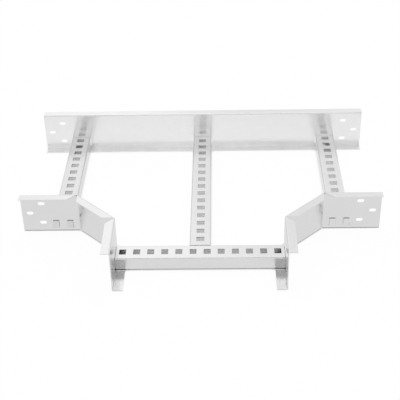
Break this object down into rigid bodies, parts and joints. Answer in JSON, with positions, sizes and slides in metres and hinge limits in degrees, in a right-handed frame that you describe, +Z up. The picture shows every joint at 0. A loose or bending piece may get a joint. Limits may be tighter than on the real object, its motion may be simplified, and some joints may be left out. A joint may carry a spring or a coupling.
{
  "type": "cable tray tee",
  "caption": "Ladder cable tray tee in galvanised sheet steel: straight back rail, cranked corner rails and perforated channel rungs, with slotted ends for joint plates.",
  "frame": {"origin": "middle of the bounding box, at the underside of the bottom flanges", "axes": "+X along the run, +Y from the branch outlet towards the back rail, +Z up out of the tray"},
  "size_m": [0.665, 0.499, 0.08],
  "materials": {
    "galvanised_steel": "bright zinc coating, smooth and light grey, with slightly blurred reflections"
  },
  "bodies": {
    "root": {"back_rail": "galvanised_steel", "left_elbow_rail": "galvanised_steel", "right_elbow_rail": "galvanised_steel", "left_rung": "galvanised_steel", "middle_rung": "galvanised_steel", "right_rung": "galvanised_steel", "front_rung": "galvanised_steel"}
  },
  "joints": []
}
